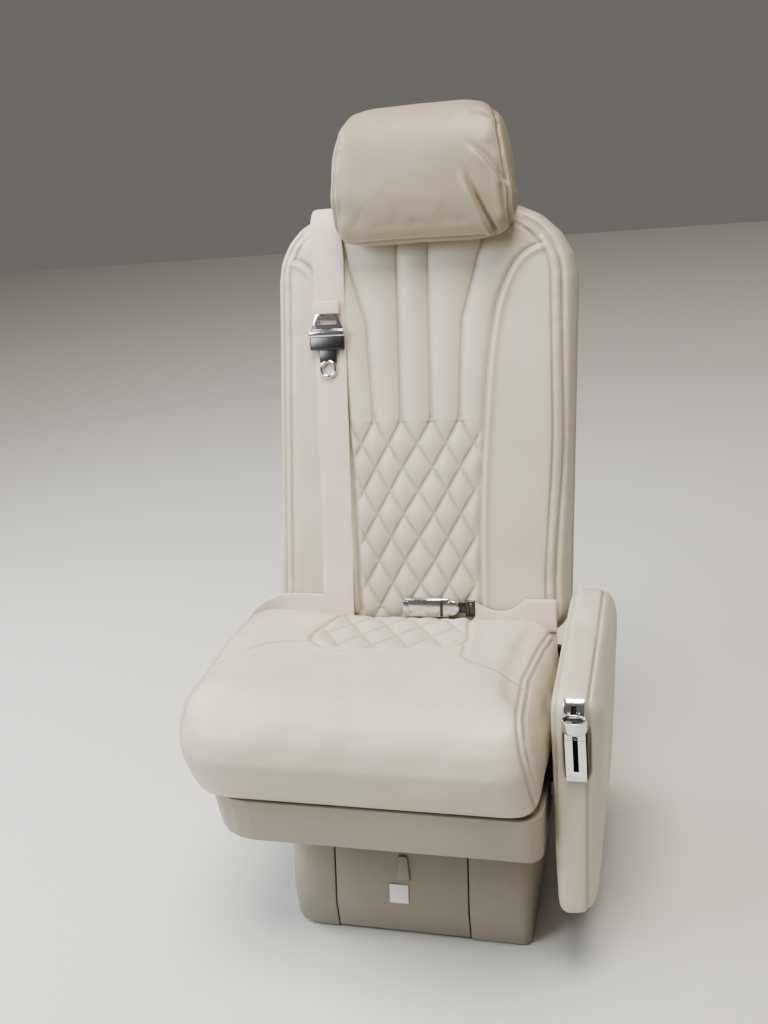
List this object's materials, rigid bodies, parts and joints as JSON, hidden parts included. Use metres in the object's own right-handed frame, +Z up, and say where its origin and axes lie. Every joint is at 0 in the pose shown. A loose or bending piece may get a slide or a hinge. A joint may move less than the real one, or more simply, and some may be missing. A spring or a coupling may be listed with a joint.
{
  "type": "business jet passenger seat",
  "caption": "Leather club seat for a light jet cabin, on a floor pedestal with sliding tracks, reclining back, headrest pillow, stowing aisle armrest and lap and shoulder belts.",
  "frame": {"origin": "on the floor, under the middle of the pedestal's floor frame", "axes": "+Z up, the occupant faces -Y, +X is the aisle side with the armrest"},
  "size_m": [0.562, 0.6542, 1.1159],
  "materials": {
    "leather": "soft semi-matt ivory leather, stitched and quilted",
    "trim_leather": "semi-matt ivory leather over stiff panels",
    "aluminium": "plain milled",
    "steel": "satin zinc plated",
    "chrome": "polished",
    "dark_plastic": "fine grained",
    "white_plate": "blank, smooth",
    "webbing": "ribbed beige belt webbing"
  },
  "bodies": {
    "base": {"shroud_left": "trim_leather", "shroud_right": "trim_leather", "shroud_rear": "trim_leather", "base_frame": "aluminium", "vest_tray": "dark_plastic", "track_rail_left": "steel", "track_rail_right": "steel", "door_pin": "steel"},
    "vest_door": {"vest_door": "trim_leather", "vest_label": "white_plate", "vest_tab": "leather"},
    "carriage": {"carriage": "aluminium", "cross_rail_front": "steel", "cross_rail_rear": "steel"},
    "seat": {"skirt_front": "trim_leather", "skirt_left": "trim_leather", "skirt_right": "trim_leather", "skirt_rear": "trim_leather", "seat_pan": "aluminium", "seat_cushion": "leather", "hinge_bracket_left": "steel", "hinge_bracket_right": "steel", "belt_anchor_left": "steel", "belt_anchor_right": "steel", "lap_strap_left": "webbing", "lap_strap_right": "webbing", "lap_buckle": "chrome", "lap_tongue": "steel", "arm_guide_front": "steel", "arm_guide_rear": "steel"},
    "back": {"back_cushion": "leather", "back_shell": "leather", "back_pocket": "trim_leather", "hinge_arm_left": "steel", "hinge_arm_right": "steel", "shoulder_strap": "webbing", "strap_fitting": "chrome", "strap_adjuster": "chrome", "reel_cover": "dark_plastic"},
    "headrest": {"headrest_bracket": "steel", "headrest_pillow": "leather"},
    "armrest": {"armrest": "leather", "control_housing": "dark_plastic", "control_plate": "chrome", "control_lever": "chrome"}
  },
  "joints": [
    {"name": "fore_aft", "type": "slide", "parent": "base", "child": "carriage", "axis": [0, 1, 0], "range_m": [-0.08, 0.08]},
    {"name": "lateral", "type": "slide", "parent": "carriage", "child": "seat", "axis": [1, 0, 0], "range_m": [0, 0.09]},
    {"name": "recline", "type": "hinge", "parent": "seat", "child": "back", "pos_m": [0, 0.097, 0.32], "axis": [-1, 0, 0], "range_deg": [0, 50]},
    {"name": "headrest_height", "type": "slide", "parent": "back", "child": "headrest", "axis": [0, 0.2756, 0.9613], "range_m": [0, 0.06]},
    {"name": "armrest_raise", "type": "slide", "parent": "seat", "child": "armrest", "axis": [0, 0, 1], "range_m": [0, 0.14]},
    {"name": "vest_door", "type": "hinge", "parent": "base", "child": "vest_door", "pos_m": [0, -0.201, 0.01], "axis": [1, 0, 0], "range_deg": [0, 90]}
  ]
}
